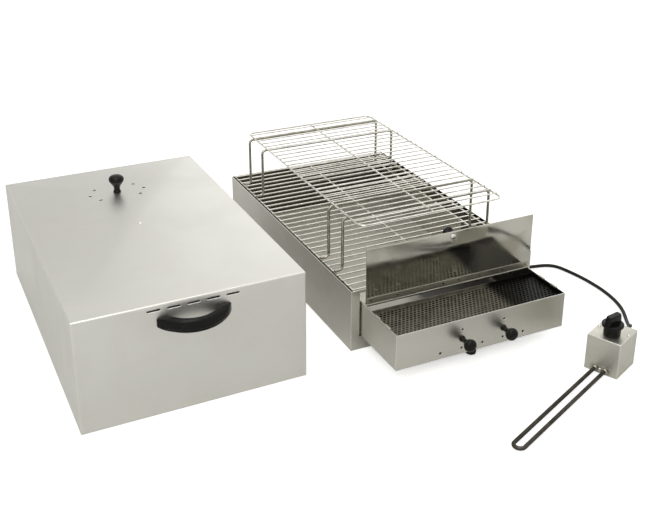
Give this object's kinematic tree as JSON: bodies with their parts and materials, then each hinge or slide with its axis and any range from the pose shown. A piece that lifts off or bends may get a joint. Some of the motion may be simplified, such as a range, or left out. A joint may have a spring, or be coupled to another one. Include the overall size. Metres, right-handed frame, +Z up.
{
  "type": "electric smoker",
  "caption": "Tabletop electric smoker: steel pan with wire grill and rack, lift-off vented lid, slide-out smoke box with flap and chip tray, plug-in heater with control knob and lead.",
  "frame": {"origin": "on the floor under the middle of the base pan", "axes": "+Z up, +Y to the back of the base pan, +X to the right seen from the smoke box"},
  "size_m": [1.0292, 0.9549, 0.2284],
  "materials": {
    "base_sheet": "satin stainless sheet, brushed along its length",
    "lid_sheet": "fine satin stainless sheet",
    "box_sheet": "satin stainless sheet",
    "flap_sheet": "polished stainless sheet",
    "hinge_steel": "satin stainless strip",
    "grill_wire": "bright plated wire",
    "rack_wire": "bright plated wire",
    "tray_sheet": "dark perforated sheet",
    "black_knob": "black moulded plastic",
    "handle_black": "black moulded plastic",
    "screw_steel": "bright steel",
    "housing_sheet": "satin stainless sheet",
    "element_steel": "dull sheathed rod",
    "inner_plastic": "light brown moulded block",
    "foot_rubber": "black rubber",
    "cord_black": "black rubber sheath",
    "plug_black": "black moulded plug",
    "pin_brass": "plated pins"
  },
  "bodies": {
    "base": {"base_pan": "base_sheet", "base_front": "base_sheet", "ledge_left": "base_sheet", "ledge_right": "base_sheet", "runner_left": "base_sheet", "runner_right": "base_sheet"},
    "main_grill": {"main_grill": "grill_wire"},
    "upper_rack": {"rack_grid": "rack_wire", "rack_leg_1": "rack_wire", "rack_leg_2": "rack_wire", "rack_leg_3": "rack_wire", "rack_leg_4": "rack_wire"},
    "smoke_box": {"box_shell": "box_sheet", "box_panel": "box_sheet", "box_roof": "box_sheet", "hinge_fixed": "hinge_steel", "hinge_pin": "screw_steel", "box_foot": "foot_rubber", "foot_screw": "screw_steel"},
    "damper_left": {"damper_disc_left": "box_sheet", "damper_knob_left": "black_knob"},
    "damper_right": {"damper_disc_right": "box_sheet", "damper_knob_right": "black_knob"},
    "flap": {"flap_panel": "flap_sheet", "flap_leaf": "hinge_steel", "flap_knob": "black_knob", "flap_screw": "screw_steel"},
    "chip_tray": {"chip_tray": "tray_sheet"},
    "lid": {"lid_shell": "lid_sheet", "lid_stop": "lid_sheet", "handle_front": "handle_black", "handle_back": "handle_black", "handle_screw_front_left": "screw_steel", "handle_screw_front_right": "screw_steel", "handle_screw_back_left": "screw_steel", "handle_screw_back_right": "screw_steel", "lid_stud": "screw_steel"},
    "lid_vent": {"vent_disc": "lid_sheet", "vent_knob": "black_knob"},
    "heater": {"heater_cover": "housing_sheet", "heater_base": "housing_sheet", "regulator": "inner_plastic", "cover_screw_back": "screw_steel", "cover_screw_front": "screw_steel", "terminal_block": "inner_plastic", "heating_element": "element_steel", "element_flange": "screw_steel", "flange_screw": "screw_steel", "cable_gland": "plug_black", "cord_relief": "plug_black", "cord": "cord_black", "cord_coil": "cord_black", "plug": "plug_black", "plug_pin_left": "pin_brass", "plug_pin_right": "pin_brass"},
    "selector": {"selector_knob": "black_knob"}
  },
  "joints": [
    {"name": "main_grill_lift", "type": "slide", "parent": "base", "child": "main_grill", "axis": [0, 0, 1], "range_m": [0, 0.12]},
    {"name": "upper_rack_lift", "type": "slide", "parent": "main_grill", "child": "upper_rack", "axis": [0, 0, 1], "range_m": [0, 0.12]},
    {"name": "smoke_box_slide", "type": "slide", "parent": "base", "child": "smoke_box", "axis": [0, -1, 0], "range_m": [0, 0.04]},
    {"name": "flap_hinge", "type": "hinge", "parent": "smoke_box", "child": "flap", "pos_m": [0, -0.3125, 0.0963], "axis": [1, 0, 0], "range_deg": [0, 90]},
    {"name": "chip_tray_lift", "type": "slide", "parent": "smoke_box", "child": "chip_tray", "axis": [0, 0, -1], "range_m": [-0.06, 0]},
    {"name": "damper_left_turn", "type": "hinge", "parent": "smoke_box", "child": "damper_left", "pos_m": [-0.0418, -0.4195, 0.0567], "axis": [0, 1, 0], "range_deg": [0, 90]},
    {"name": "damper_right_turn", "type": "hinge", "parent": "smoke_box", "child": "damper_right", "pos_m": [0.0418, -0.4195, 0.0567], "axis": [0, 1, 0], "range_deg": [0, 90]},
    {"name": "lid_lift", "type": "slide", "parent": "base", "child": "lid", "axis": [0, 0, 1], "range_m": [0, 0.2]},
    {"name": "lid_vent_turn", "type": "hinge", "parent": "lid", "child": "lid_vent", "pos_m": [-0.48008, 0.131, 0.1944], "axis": [0, 0, 1], "range_deg": [0, 90]},
    {"name": "heater_lift", "type": "slide", "parent": "base", "child": "heater", "axis": [0, 0, 1], "range_m": [0, 0.1]},
    {"name": "selector_turn", "type": "hinge", "parent": "heater", "child": "selector", "pos_m": [0.18521, -0.52649, 0.06], "axis": [0, 0, 1], "range_deg": [0, 270]}
  ]
}
